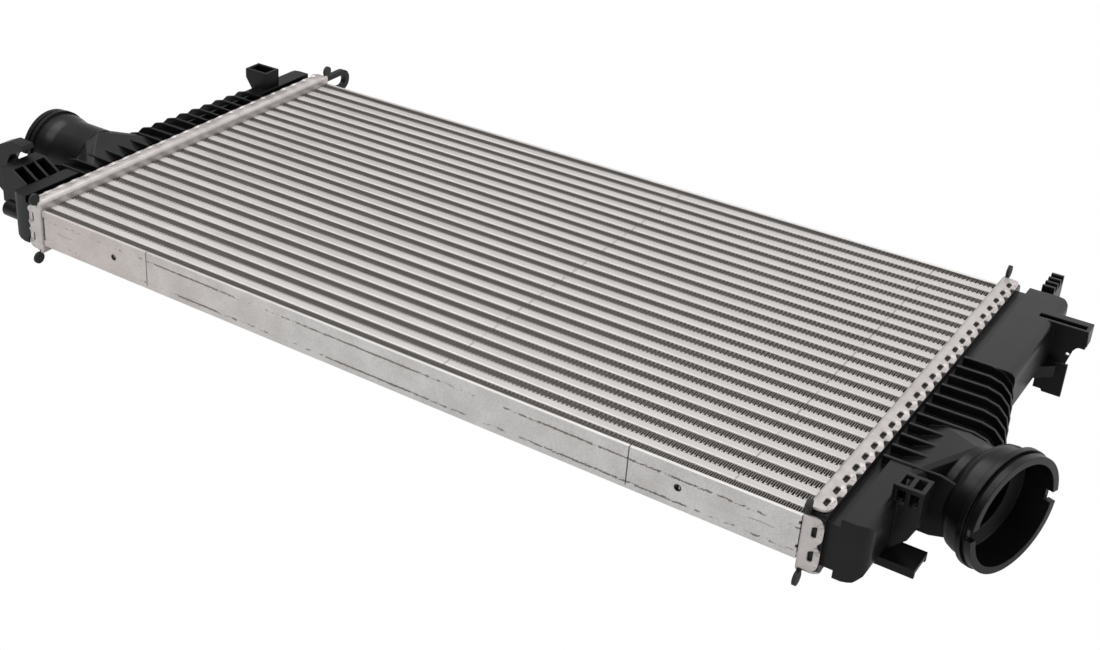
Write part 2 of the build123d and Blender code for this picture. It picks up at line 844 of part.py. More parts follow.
# Right tank
right_port = (foot_face + right_port_reach, right_port_y, right_port_turn)
right_frame = port_frame(*right_port)
right_neck = right_bore_radius + right_neck_wall
right_first_y = foot_half_length - right_first_rib
right_shape = Shape(
    right_first_y,
    right_first_y - right_widest_rib * rib_pitch,
    right_first_y - (right_rib_count - 1) * rib_pitch,
    right_far_reach,
    right_first_reach,
    right_widest_reach,
)
with BuildPart() as tank_right:
    tank_shell(right_shape)
    tank_ribs(right_shape, right_rib_count)
    cage_bracket()
    foot_bar()
    arm_bracket()
    comb_bracket()
    duct(right_frame, right_port_y, right_neck_back, right_neck, 0, Mode.ADD)
    port_outside(
        *right_port,
        right_neck,
        right_neck_back,
        right_bore_radius + right_sleeve_wall,
        right_bore_radius + right_collar_wall,
        right_bore_radius + right_lip_wall,
    )
    tank_cavity(right_shape)
    duct(right_frame, right_port_y, right_neck_back, right_neck, passage_wall, Mode.SUBTRACT)
    port_inside(*right_port, right_neck, right_neck_back, right_bore_radius)
    lip_slots(*right_port, right_bore_radius + right_lip_wall)
tank_right.part.label = "tank_right"
pieces.append(tank_right.part)

# Left tank, drawn on the right-hand side and mirrored
left_port = (foot_face + left_port_reach, left_port_y, left_port_turn)
left_frame = port_frame(*left_port)
left_neck = left_bore_radius + left_neck_wall
left_first_y = foot_half_length - left_first_rib
left_shape = Shape(
    left_first_y,
    left_first_y - left_widest_rib * rib_pitch,
    left_first_y - (left_rib_count - 1) * rib_pitch,
    left_far_reach,
    left_first_reach,
    left_widest_reach,
)
with BuildPart() as tank_left:
    tank_shell(left_shape)
    tank_ribs(left_shape, left_rib_count)
    ladder(left_first_y)
    eye_loop()
    pocket_bracket()
    ribbed_box()
    hook()
    peg()
    duct(left_frame, left_port_y, left_neck_back, left_neck, 0, Mode.ADD)
    port_outside(
        *left_port,
        left_neck,
        left_neck_back,
        left_bore_radius + left_sleeve_wall,
        left_bore_radius + left_collar_wall,
        left_bore_radius + left_lip_wall,
    )
    tank_cavity(left_shape)
    duct(left_frame, left_port_y, left_neck_back, left_neck, passage_wall, Mode.SUBTRACT)
    port_inside(*left_port, left_neck, left_neck_back, left_bore_radius)
    lip_slots(*left_port, left_bore_radius + left_lip_wall)
    mirror(about=Plane.YZ, mode=Mode.REPLACE)
tank_left.part.label = "tank_left"
pieces.append(tank_left.part)

# Stand everything on the ground, centred under the bounding box
os.makedirs("parts", exist_ok=True)
box = Compound(pieces).bounding_box()
to_ground = Location((-box.center().X, -box.center().Y, -box.min.Z))
for piece in pieces:
    export_step(piece.moved(to_ground), f"parts/{piece.label}.step")
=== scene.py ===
"""The looks of an air-to-air charge cooler: brazed aluminium core, crimped headers, moulded nylon tanks.

X runs along the tubes, Y across them and Z up, out of the core's front face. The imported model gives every
place; what is made here is worked out from its boxes and from real sizes in millimetres.
"""

import math

import bpy
import numpy as np
from mathutils import Matrix, Vector


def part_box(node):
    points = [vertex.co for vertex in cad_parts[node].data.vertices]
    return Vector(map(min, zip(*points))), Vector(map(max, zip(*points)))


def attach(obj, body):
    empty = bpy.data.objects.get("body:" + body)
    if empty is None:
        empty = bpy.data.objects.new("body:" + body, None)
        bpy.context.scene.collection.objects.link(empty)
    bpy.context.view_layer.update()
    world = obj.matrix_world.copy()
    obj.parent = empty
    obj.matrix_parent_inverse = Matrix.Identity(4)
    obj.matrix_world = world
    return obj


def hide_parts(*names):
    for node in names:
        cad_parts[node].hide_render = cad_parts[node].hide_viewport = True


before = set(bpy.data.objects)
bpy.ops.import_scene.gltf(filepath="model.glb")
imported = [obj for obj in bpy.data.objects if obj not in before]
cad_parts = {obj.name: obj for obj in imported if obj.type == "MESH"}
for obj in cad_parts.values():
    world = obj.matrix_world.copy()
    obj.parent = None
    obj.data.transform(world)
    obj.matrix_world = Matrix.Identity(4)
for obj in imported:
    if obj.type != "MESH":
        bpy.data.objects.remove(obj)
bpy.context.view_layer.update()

MM = 0.001
SEED = 7
WHITE = (1.0, 1.0, 1.0, 1.0)

# The photograph's frame and where the fitted camera's axis meets it, in its own pixels
PHOTO_WIDTH, PHOTO_HEIGHT = 1100, 650
AXIS_PIXEL_X, AXIS_PIXEL_Y = 400, 240
FOCAL_PIXELS = 1577.8
SENSOR_WIDTH = 36.0
CAMERA_FROM_CORE = Vector((602.7, -992.1, 605.0)) * MM
FLOOR_REACH = 12.0

# Core sizes that the fins and tubes below share with the solids
TUBE_CORNER = 0.9 * MM
TUBE_WALL = 0.7 * MM
TUBE_COUNT = 23
FIN_COUNT = TUBE_COUNT + 1
TUBE_PITCH = 16.36 * MM

# Fins: one wave of the folded strip, its legs, how square its folds are, and the braze inside its near crests
FIN_WAVE = 3.385 * MM
FIN_LEG = 0.6 * MM
FIN_STEEP = 0.48
FIN_FLAT = 0.11
FIN_WANDER = 0.01
FIN_POINTS_PER_WAVE = 10
BRAZE_POOL = 1.8
POOL_START, POOL_RISE = 0.55, 0.3
LOUVRE_PITCH = 1.1 * MM

# Marks, from the middle of the core: across the tubes, and along the side plates, where a braze line has a
# height and a fall along X, and a scratch has a middle and a bow
TUBE_MARKS = (65.0 * MM, 293.0 * MM)
HOLE_FROM_MIDDLE = 259.0 * MM
BRAZE_LINES = ((8.0 * MM, 0.0048), (-11.2 * MM, 0.0008))
SCRATCHES = ((-317.0 * MM, 9.0), (318.0 * MM, -6.0))

# Headers: sheet, bend, windows and crimp, as the solids have them, and what the crimping tool adds
HEADER_SHEET = 1.6 * MM
HEADER_BEND = 3.0 * MM
BRAZE_GAP = 0.1 * MM
LONG_WINDOWS = 24
WINDOW_END = 15.3 * MM
SHORT_WINDOW_PITCH = 18.4 * MM
WINDOW_HALF = 4.3 * MM
WINDOW_TAPER = 0.6 * MM
WINDOW_CORNER = 0.7 * MM
WINDOW_HEIGHT = 3.2 * MM
WINDOW_FROM_EDGE = 4.2 * MM
RIM_CUT = 1.5 * MM
RIM_SPLIT = 0.02 * MM
RIM_CORNER = 6.0 * MM
RIM_RELIEF = 2.0 * MM
NOTCH_DEPTH = 2.5 * MM
NOTCH_HALF = 4.2 * MM
NOTCH_FLOOR_HALF = 0.4 * MM
PRESS_START = 3.4 * MM
PRESS_END = 6.6 * MM
PRESS_DEPTH = 1.45 * MM
CURL_DEPTH = 0.3 * MM

header_left_box, header_right_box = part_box("header_left"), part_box("header_right")
CORE = (header_left_box[0] + header_right_box[1]) / 2

# Points of a solid closer than this are one point
WELD = 0.01 * MM


def linear(hex_colour):
    """sRGB hex to linear light: a channel is divided by 12.92 up to 0.04045, and raised to 2.4 above it."""
    channels = np.array([int(hex_colour[i:i + 2], 16) for i in (1, 3, 5)]) / 255
    low, high = channels / 12.92, ((channels + 0.055) / 1.055) ** 2.4
    return (*np.where(channels <= 0.04045, low, high), 1.0)


def plug(tree, sockets, values):
    """Gives each named socket a plain value or another node's output."""
    for name, value in values.items():
        if isinstance(value, bpy.types.NodeSocket):
            tree.links.new(value, sockets[name])
        else:
            sockets[name].default_value = value


def node(tree, kind, inputs=None, **settings):
    """Adds one node: settings are its options, and inputs are what goes into its sockets."""
    made = tree.nodes.new(kind)
    for name, value in settings.items():
        setattr(made, name, value)
    plug(tree, made.inputs, inputs or {})
    return made


def material(name):
    """New material with its node tree, its shader and the Object coordinates that its patterns read."""
    made = bpy.data.materials.new(name)
    made.use_nodes = True
    tree = made.node_tree
    shader = tree.nodes["Principled BSDF"]
    place = node(tree, "ShaderNodeTexCoord").outputs["Object"]
    return made, tree, shader, place


def grains(tree, place, size, detail=2.0, stretch=(1, 1, 1)):
    """Noise with blotches about size across, in metres, drawn out along an axis where stretch is under 1."""
    scaled = node(tree, "ShaderNodeMapping", {"Vector": place, "Scale": stretch}).outputs["Vector"]
    noise = node(tree, "ShaderNodeTexNoise", {"Vector": scaled, "Scale": 1 / size, "Detail": detail})
    return noise.outputs["Fac"]


def ramp(tree, value, low, high, to_low=0.0, to_high=1.0):
    """Carries value from the span low..high to the span to_low..to_high, and holds it there."""
    made = node(tree, "ShaderNodeMapRange", {
        "Value": value, "From Min": low, "From Max": high, "To Min": to_low, "To Max": to_high,
    })
    return made.outputs["Result"]


def maths(tree, operation, first, second=0.0):
    """One step of arithmetic on one or two values."""
    return node(tree, "ShaderNodeMath", {0: first, 1: second}, operation=operation).outputs[0]


def blend(tree, share, under, over):
    """The colour over, laid on the colour under by a share; each is an sRGB hex or another node's output."""
    under, over = [linear(colour) if isinstance(colour, str) else colour for colour in (under, over)]
    return node(tree, "ShaderNodeMix", {0: share, 6: under, 7: over}, data_type="RGBA").outputs[2]


def places(tree, place):
    """The three Object coordinates, measured from the middle of the core."""
    from_core = node(tree, "ShaderNodeVectorMath", {0: place, 1: tuple(CORE)}, operation="SUBTRACT")
    return node(tree, "ShaderNodeSeparateXYZ", {"Vector": from_core.outputs[0]}).outputs


def line(tree, distance, half_width, soft):
    """1 on a line and 0 away from it, with a soft edge, from the distance to it."""
    return ramp(tree, maths(tree, "ABSOLUTE", distance), half_width, half_width + soft, 1.0, 0.0)


def upright(tree):
    """How far a face looks up: 1 for a level one, 0 for a wall."""
    normal = node(tree, "ShaderNodeNewGeometry").outputs["True Normal"]
    return node(tree, "ShaderNodeSeparateXYZ", {"Vector": normal}).outputs["Z"]


def relief(tree, height, depth, under=None):
    """Bump of that depth in metres, on top of the normal under it."""
    inputs = {"Height": height, "Distance": depth, "Strength": 1.0}
    if under is not None:
        inputs["Normal"] = under
    return node(tree, "ShaderNodeBump", inputs).outputs["Normal"]


def edge_round(tree, radius):
    """Normal that turns smoothly over each edge, as a real edge of that radius does."""
    return node(tree, "ShaderNodeBevel", {"Radius": radius}, samples=4).outputs["Normal"]


def dress(tree, shader, **inputs):
    """Sets the shader's sockets, whose names have spaces where these have underscores."""
    plug(tree, shader.inputs, {name.replace("_", " "): value for name, value in inputs.items()})


def brazed_tube_aluminium():
    """Rolled aluminium after the braze furnace: pale, silky, with faint spots and two marks across it."""
    made, tree, shader, place = material("brazed_tube_aluminium")
    cloud = grains(tree, place, 14 * MM, 3, (0.2, 1, 1))
    spot = ramp(tree, grains(tree, place, 2.2 * MM, 2), 0.66, 0.74, 0.0, 0.5)
    colour = blend(tree, spot, blend(tree, cloud, "#C6C2C0", "#D2CFCD"), "#ADA8A5")
    chosen = ramp(tree, grains(tree, place, 25 * MM, 1, (0.01, 1, 0.01)), 0.4, 0.5, 0.0, 0.8)
    x = places(tree, place)["X"]
    for mark in TUBE_MARKS:
        away = maths(tree, "SUBTRACT", x, mark)
        share = maths(tree, "MULTIPLY", line(tree, away, 0.35 * MM, 0.4 * MM), chosen)
        colour = blend(tree, share, colour, "#85807E")
    dress(
        tree, shader, Base_Color=colour, Metallic=0.8,
        Roughness=ramp(tree, cloud, 0.3, 0.7, 0.42, 0.52),
        Normal=relief(tree, grains(tree, place, 0.5 * MM, 2), 0.02 * MM),
    )
    return made


def louvred_fin_aluminium():
    """Fin stock: painted shade on its walls between the louvres, pale on its cut edge, and pale at its crests
    where braze meets a tube, partly a painted highlight.
    """
    made, tree, shader, place = material("louvred_fin_aluminium")
    cloud = grains(tree, place, 6 * MM, 2)
    louvres = node(tree, "ShaderNodeTexWave", {
        "Vector": place, "Scale": 1 / (2 * LOUVRE_PITCH) / math.pi, "Distortion": 0.0,
    }, bands_direction="Z").outputs["Fac"]
    in_row = maths(tree, "FRACT", maths(tree, "DIVIDE", places(tree, place)["Y"], TUBE_PITCH))
    off_middle = maths(tree, "MULTIPLY", maths(tree, "SUBTRACT", in_row, 0.5), TUBE_PITCH)
    # Pale at the near crests and less at the far ones: braze there, and also a painted highlight on the plain
    # crest sheet
    near_crest = ramp(tree, off_middle, -2.2 * MM, -2.8 * MM, 0.0, 0.9)
    far_crest = ramp(tree, off_middle, 3.8 * MM, 4.3 * MM, 0.0, 0.3)
    cut_edge = blend(tree, cloud, "#807A75", "#99938E")
    # Walls that face sideways are painted dark as the shade between the louvres; faces that look up keep the
    # pale fin colour
    colour = blend(tree, ramp(tree, upright(tree), 0.4, 0.8), "#211E1C", cut_edge)
    colour = blend(tree, maths(tree, "ADD", near_crest, far_crest), colour, "#D8D4D1")
    dress(
        tree, shader, Base_Color=colour, Metallic=0.6, Roughness=0.5,
        Normal=relief(tree, louvres, 0.25 * MM),
    )
    return made


def rolled_plate_aluminium():
    """Side plates: rolled sheet, grained and clouded, with braze lines, scratches and dark hole edges.

    Faces that look up, such as its folded lips, get a painted highlight that grows stronger towards +X.
    """
    made, tree, shader, place = material("rolled_plate_aluminium")
    streak = grains(tree, place, 3 * MM, 3, (0.05, 1, 1))
    cloud = grains(tree, place, 24 * MM, 4)
    grain = grains(tree, place, 0.9 * MM, 2)
    x, _, z = places(tree, place)
    mottle = maths(tree, "ADD", maths(tree, "MULTIPLY", streak, 0.3), maths(tree, "ADD", cloud, grain))
    warm = ramp(tree, x, -330 * MM, -60 * MM, 1.0, 0.0)
    pale = blend(tree, warm, "#D6D4D2", "#D2C9C6")
    dull = blend(tree, warm, "#C0BDBB", "#BBB1AD")
    colour = blend(tree, ramp(tree, mottle, 0.9, 1.4), dull, pale)
    colour = blend(tree, braze_lines(tree, place), colour, "#5F5652")
    colour = blend(tree, scratches(tree, place), colour, "#8A8583")
    # Painted highlight: faces that look up turn near white, more so towards +X
    facing_up = ramp(tree, upright(tree), 0.6, 0.9)
    painted_top_highlight = maths(tree, "MULTIPLY", facing_up, ramp(tree, x, -200 * MM, 200 * MM, 0.2, 0.8))
    colour = blend(tree, painted_top_highlight, colour, "#F0EEEC")
    for side in (-1, 1):
        along = maths(tree, "SUBTRACT", x, side * HOLE_FROM_MIDDLE)
        away = maths(tree, "SQRT", maths(
            tree, "ADD", maths(tree, "MULTIPLY", along, along), maths(tree, "MULTIPLY", z, z),
        ))
        colour = blend(tree, line(tree, away, 2.6 * MM, 0.4 * MM), colour, "#3E3937")
    dress(
        tree, shader, Base_Color=colour, Metallic=0.6,
        Roughness=ramp(tree, streak, 0.3, 0.7, 0.4, 0.52),
        Normal=relief(tree, grain, 0.03 * MM, edge_round(tree, 0.5 * MM)),
    )
    return made


def braze_lines(tree, place):
    """Share of dark line: two nearly level lines where clad ran, ragged, with breaks that come and go."""
    x, _, z = places(tree, place)
    ragged = maths(tree, "MULTIPLY", maths(tree, "SUBTRACT", grains(tree, place, 1.4 * MM, 3), 0.5), 3.0 * MM)
    slow = grains(tree, place, 70 * MM, 1)
    broken = maths(tree, "ADD", grains(tree, place, 2.6 * MM, 3, (0.5, 1, 1)), slow)
    breaks = ramp(tree, broken, 0.96, 1.04, 0.0, 0.85)
    total = 0.0
    for height, fall in BRAZE_LINES:
        level = maths(tree, "ADD", z, maths(tree, "MULTIPLY", x, fall))
        away = maths(tree, "ADD", maths(tree, "SUBTRACT", level, height), ragged)
        total = maths(tree, "ADD", line(tree, away, 0.55 * MM, 0.4 * MM), total)
    return maths(tree, "MULTIPLY", total, breaks)


def scratches(tree, place):
    """Share of scratch: one shallow arc near each end, z = bow * (x - middle)^2, up to its half length."""
    x, _, z = places(tree, place)
    total = 0.0
    for middle, bow in SCRATCHES:
        along = maths(tree, "SUBTRACT", x, middle)
        arc = maths(tree, "MULTIPLY", maths(tree, "MULTIPLY", along, along), bow)
        within = line(tree, along, 8 * MM, 2 * MM)
        drawn = line(tree, maths(tree, "SUBTRACT", z, arc), 0.15 * MM, 0.25 * MM)
        total = maths(tree, "ADD", maths(tree, "MULTIPLY", drawn, within), total)
    return total


def pressed_header_aluminium():
    """Headers: pressed sheet, matt from flux, with stains, and dark flecks that thicken towards the crimp."""
    made, tree, shader, place = material("pressed_header_aluminium")
    stain = grains(tree, place, 11 * MM, 4)
    outwards = maths(tree, "ABSOLUTE", places(tree, place)["X"])
    crowd = ramp(tree, outwards, 350 * MM, 357 * MM, 0.0, 0.1)
    flecks = ramp(tree, maths(tree, "ADD", grains(tree, place, 1.6 * MM, 3), crowd), 0.68, 0.74, 0.0, 0.6)
    base = blend(tree, ramp(tree, stain, 0.3, 0.7), "#B8B1AF", "#CDC8C6")
    dress(
        tree, shader, Base_Color=blend(tree, flecks, base, "#5E4E45"), Metallic=0.75,
        Roughness=ramp(tree, stain, 0.3, 0.7, 0.38, 0.55),
        Normal=relief(tree, grains(tree, place, 0.8 * MM, 2), 0.03 * MM, edge_round(tree, 0.7 * MM)),
    )
    return made


def moulded_nylon():
    """Tanks: black glass-filled nylon from a polished mould, softly glossy, with faint flow marks."""
    made, tree, shader, place = material("moulded_glass_filled_nylon")
    flow = grains(tree, place, 26 * MM, 3)
    skin = grains(tree, place, 0.6 * MM, 2)
    dress(
        tree, shader, Base_Color=blend(tree, ramp(tree, flow, 0.3, 0.7), "#0C0C0D", "#151517"),
        Roughness=ramp(tree, flow, 0.3, 0.7, 0.28, 0.38), Specular_IOR_Level=0.22,
        Normal=relief(tree, skin, 0.02 * MM, edge_round(tree, 1.0 * MM)),
    )
    return made


def gasket_rubber():
    """Gaskets: matt black moulded rubber, with no gloss to speak of."""
    made, tree, shader, place = material("moulded_epdm_rubber")
    skin = grains(tree, place, 0.5 * MM, 2)
    dress(
        tree, shader, Base_Color=blend(tree, skin, "#121212", "#1C1B1B"), Roughness=0.62,
        Normal=relief(tree, skin, 0.03 * MM, edge_round(tree, 0.5 * MM)),
    )
    return made


def eased(share):
    """Smooth step from 0 to 1: 3 s^2 - 2 s^3, held at both ends."""
    held = np.clip(share, 0, 1)
    return held * held * (3 - 2 * held)


def grid_faces(rows, columns, wrap_rows=False, wrap_columns=False):
    """Four-sided faces of a grid: point (i, j) to (i, j+1), (i+1, j+1) and (i+1, j), wrapping where asked."""
    i, j = np.meshgrid(
        np.arange(rows if wrap_rows else rows - 1),
        np.arange(columns if wrap_columns else columns - 1), indexing="ij",
    )
    below, right = (i + 1) % rows, (j + 1) % columns
    corners = [i * columns + j, i * columns + right, below * columns + right, below * columns + j]
    return np.stack(corners, axis=-1).reshape(-1, 4)


def surface(name, points, faces, finish, smooth_degrees=40):
    """Mesh object from an array of points and one of faces, shaded smooth except over sharp edges.

    Its normals are weighted by face area, so that a flat between two rounded corners stays flat.
    """
    mesh = bpy.data.meshes.new(name)
    mesh.from_pydata(points.reshape(-1, 3), [], faces)
    mesh.shade_smooth()
    mesh.set_sharp_from_angle(angle=math.radians(smooth_degrees))
    mesh.materials.append(finish)
    made = bpy.data.objects.new(name, mesh)
    even = made.modifiers.new("even_normals", "WEIGHTED_NORMAL")
    even.mode = "FACE_AREA_WITH_ANGLE"
    even.keep_sharp = True
    bpy.context.scene.collection.objects.link(made)
    return made


def seat(piece, node_name):
    """The piece stands for that solid, whose own mesh is hidden, and rides on the one body."""
    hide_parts(node_name)
    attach(piece, "root")


def rounded_section(half_y, half_z, radius, points_per_corner=5):
    """Closed outline round a box: each corner is a quarter circle, centred one radius in from both sides."""
    turn = np.linspace(0, math.pi / 2, points_per_corner)
    quarter = np.arange(4)[:, None] * math.pi / 2 + turn
    side_y = np.array([1, -1, -1, 1])[:, None] * (half_y - radius)
    side_z = np.array([1, 1, -1, -1])[:, None] * (half_z - radius)
    outline = np.stack([side_y + radius * np.cos(quarter), side_z + radius * np.sin(quarter)], -1)
    return outline.reshape(-1, 2)


def flat_tube(number, finish):
    """Tube: a rounded outline carried out along X, and a smaller one carried back inside it."""
    name = f"tube_{number:02d}"
    low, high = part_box(name)
    middle, half = (low + high) / 2, (high - low) / 2
    outer = rounded_section(half.y, half.z, TUBE_CORNER)
    inner = rounded_section(half.y - TUBE_WALL, half.z - TUBE_WALL, TUBE_CORNER - TUBE_WALL)
    along = np.array([-half.x, half.x, half.x, -half.x])
    outline = np.stack([outer, outer, inner, inner])
    stations = np.broadcast_to(along[:, None, None], (*outline.shape[:2], 1))
    points = np.concatenate([stations, outline], -1)
    faces = grid_faces(4, len(outer), wrap_rows=True, wrap_columns=True)
    piece = surface(f"{name}_rolled", points + np.array(middle), faces, finish)
    seat(piece, name)


def fin_strip(number, finish, chance):
    """Fin: a serpentine x = w (t - s sin 2t) / 2 pi, y = a (sin t + f sin 3t) / (1 - f), wandering a little.

    Here s says how steep and f how flat-topped its folds are. Its legs are as thick as their turned louvres
    are deep, and braze fills the inside of its near crests.
    """
    name = f"fin_row_{number:02d}"
    low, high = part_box(name)
    middle, half = (low + high) / 2, (high - low) / 2
    waves = int(2 * half.x / FIN_WAVE)
    turn = np.linspace(0, 2 * math.pi * waves, waves * FIN_POINTS_PER_WAVE + 1)
    wander = np.cumsum(chance.normal(0, FIN_WANDER, len(turn)))
    wander = wander - np.linspace(wander[0], wander[-1], len(turn))
    shifted = turn + chance.uniform(0, 2 * math.pi) + wander
    x = (turn - math.pi * waves - FIN_STEEP * np.sin(2 * shifted)) * half.x / (math.pi * waves)
    y = (half.y - FIN_LEG / 2) * (np.sin(shifted) + FIN_FLAT * np.sin(3 * shifted)) / (1 - FIN_FLAT)
    run = np.stack([np.gradient(x), np.gradient(y)])
    near_crest = 1 + BRAZE_POOL * eased((-y / half.y - POOL_START) / POOL_RISE)
    across = np.stack([-run[1], run[0]]) / np.hypot(*run) * FIN_LEG / 2
    sides = np.stack([near_crest, near_crest, 0 * x - 1, 0 * x - 1])
    points = np.stack([
        np.clip(x + sides * across[0], -half.x, half.x),
        np.clip(y + sides * across[1], -half.y, half.y),
        np.array([half.z, -half.z, -half.z, half.z])[:, None] + 0 * x,
    ], -1)
    last = len(turn)
    ends = np.array([[0, last, 2 * last, 3 * last], [4 * last - 1, 3 * last - 1, 2 * last - 1, last - 1]])
    faces = np.concatenate([grid_faces(4, last, wrap_rows=True), ends])
    piece = surface(f"{name}_folded", points + np.array(middle), faces, finish, smooth_degrees=60)
    seat(piece, name)


def shell(outer, inner, keep):
    """Closed sheet: one grid's kept faces, the other's turned round, and a wall along each free edge."""
    count = outer.shape[0] * outer.shape[1]
    faces = grid_faces(*outer.shape[:2])[keep.ravel()]
    edges = np.stack([faces, np.roll(faces, -1, axis=1)], -1).reshape(-1, 2)
    keys = edges.min(1) * count + edges.max(1)
    _, first, uses = np.unique(keys, return_index=True, return_counts=True)
    start, end = edges[first[uses == 1]].T
    walls = np.stack([end, start, start + count, end + count], -1)
    points = np.concatenate([outer.reshape(-1, 3), inner.reshape(-1, 3)])
    return points, np.concatenate([faces, faces[:, ::-1] + count, walls])


def rim_stations(turn, half_y, half_z):
    """Stations along one side of the pan and round its next corner.

    Each has its y and z on the base's outline, the angle of its outward direction, and its distances from the
    nearest window's middle, from the middle between two windows and from the rim's cut end. Where there is no
    window, the first two are larger than any window.
    """
    is_long = turn % 2 == 0
    along, across = (half_y, half_z) if is_long else (half_z, half_y)
    windows = LONG_WINDOWS if is_long else 2
    long_pitch = 2 * (half_y + HEADER_BEND - WINDOW_END) / (LONG_WINDOWS - 1)
    pitch = long_pitch if is_long else SHORT_WINDOW_PITCH
    middles = (np.arange(windows) - (windows - 1) / 2) * pitch
    steps = np.concatenate([np.linspace(0, WINDOW_HALF, 5), np.linspace(WINDOW_HALF, pitch / 2, 6)[1:]])
    beside = (middles[:, None] + np.concatenate([-steps, steps])).ravel()
    cut = along - RIM_CUT
    ends = np.concatenate([np.linspace(beside.max(), cut, 7), [cut + RIM_SPLIT, along]])
    stops = np.unique(np.round(np.concatenate([beside, ends, -ends]), 7))
    nearest = middles[np.clip(np.round(stops / pitch + (windows - 1) / 2), 0, windows - 1).astype(int)]
    to_window = stops - nearest
    to_gap = np.where(np.abs(stops) < middles[-1], pitch / 2 - np.abs(to_window), along)
    angle = math.pi / 2 * (1 - turn)
    outward = np.array([math.cos(angle), math.sin(angle)])
    forward = np.array([math.sin(angle), -math.cos(angle)])
    side = np.column_stack([
        stops[:, None] * forward + across * outward, np.full(len(stops), angle), to_window, to_gap,
        cut - np.abs(stops),
    ])
    corner_angles = np.linspace(angle, angle - math.pi / 2, 5)[1:-1]
    corner = np.array([
        [*(along * forward + across * outward), corner_angle, along, along, -RIM_CUT]
        for corner_angle in corner_angles
    ])
    return np.concatenate([side, corner])


def crimped_rim(half_y, half_z, depth):
    """Outer and inner side of the pan's rim, as depth outwards, y and z, and the faces that windows leave.

    Along its profile a point goes r round the bend, out by bend * sin(r / bend), and then straight on. Past
    each window the tongue is pressed in by eased steps, and between two windows the edge falls back.
    """
    stations = np.concatenate([rim_stations(turn, half_y, half_z) for turn in range(4)])
    y, z, angle, to_window, to_gap, to_cut = stations.T
    arc = HEADER_BEND * math.pi / 2
    full = arc + depth - HEADER_BEND
    high = full - WINDOW_FROM_EDGE
    low = high - WINDOW_HEIGHT
    profile = np.concatenate([
        np.linspace(0, arc, 5), np.linspace(arc, low, 3)[1:], np.linspace(low, high, 6)[1:],
        np.linspace(high, full, 5)[1:],
    ])[:, None]
    # The edge is a quarter circle at each free corner and drops to the relief at the pan's own corners
    past = np.clip(RIM_CORNER - to_cut, 0, RIM_CORNER)
    relief_edge = HEADER_BEND * math.acos(1 - RIM_RELIEF / HEADER_BEND)
    edge = np.where(
        to_cut < -RIM_SPLIT / 2, relief_edge, full - RIM_CORNER + np.sqrt(RIM_CORNER ** 2 - past ** 2)
    )
    level = np.clip((profile - low) / (high - low), 0, 1)
    tongue = np.clip((profile - high) / (full - high), 0, 1)
    fallen = eased((NOTCH_HALF - to_gap) / (NOTCH_HALF - NOTCH_FLOOR_HALF))
    run = profile * edge / full - NOTCH_DEPTH * fallen * tongue
    away = np.abs(to_window)
    pressed = eased((PRESS_END - away) / (PRESS_END - PRESS_START))
    sink = pressed * (PRESS_DEPTH * eased(level) + CURL_DEPTH * tongue ** 2)
    # A window is narrower on the core's side and has round corners
    half_window = WINDOW_HALF - WINDOW_TAPER * (1 - level) - WINDOW_CORNER * np.abs(2 * level - 1) ** 4
    beyond = half_window + (away - WINDOW_HALF) * (PRESS_END - half_window) / (PRESS_END - WINDOW_HALF)
    squeezed = np.where(away < WINDOW_HALF, away * half_window / WINDOW_HALF, beyond)
    shift = np.where(away < PRESS_END, np.sign(to_window) * (squeezed - away), 0)
    turned = np.minimum(run, arc) / HEADER_BEND
    sides = []
    for radius in (HEADER_BEND, HEADER_BEND - HEADER_SHEET):
        radial = radius * np.sin(turned) - sink
        outwards = HEADER_BEND - radius * np.cos(turned) + np.maximum(run - arc, 0)
        side_y = y + np.cos(angle) * radial + np.sin(angle) * shift
        side_z = z + np.sin(angle) * radial - np.cos(angle) * shift
        side = np.stack([outwards, side_y, side_z], -1)
        sides.append(np.concatenate([side, side[:, :1]], axis=1))
    middle = (profile[1:] + profile[:-1]) / 2
    widest = np.maximum(away, np.append(away[1:], away[0]))
    keep = ~((middle > low) & (middle < high) & (widest < WINDOW_HALF + RIM_SPLIT))
    return *sides, keep


def slotted_base(half_y, half_z):
    """Outer and inner side of the pan's base: a grid with lines on the slots' edges, less the slots."""
    tubes = [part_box(f"tube_{number:02d}") for number in range(1, TUBE_COUNT + 1)]
    slots = np.array([[low.y - BRAZE_GAP, high.y + BRAZE_GAP] for low, high in tubes]) - CORE.y
    slot_end = (tubes[0][1].z - tubes[0][0].z) / 2 + BRAZE_GAP
    z, y = np.meshgrid(
        [-half_z, -slot_end, slot_end, half_z], [-half_y, *np.sort(slots.ravel()), half_y], indexing="ij",
    )
    keep = ~((np.arange(3)[:, None] == 1) & (np.arange(y.shape[1] - 1) % 2 == 1))
    return np.stack([0 * y, y, z], -1), np.stack([0 * y + HEADER_SHEET, y, z], -1), keep


def header(side, finish):
    """Header: the slotted base and the crimped rim round it, standing out from the core to that side."""
    name = f"header_{side}"
    low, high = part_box(name)
    half_y, half_z = (high.y - low.y) / 2 - HEADER_BEND, (high.z - low.z) / 2 - HEADER_BEND
    rim_points, rim_faces = shell(*crimped_rim(half_y, half_z, high.x - low.x))
    base_points, base_faces = shell(*slotted_base(half_y, half_z))
    points = np.concatenate([rim_points, base_points])
    faces = np.concatenate([rim_faces, base_faces + len(rim_points)])
    if side == "right":
        points = points + [low.x, CORE.y, CORE.z]
        faces = faces[:, ::-1]
    else:
        points = points * [-1, 1, 1] + [high.x, CORE.y, CORE.z]
    piece = surface(f"{name}_pressed", points, faces, finish, smooth_degrees=50)
    seat(piece, name)


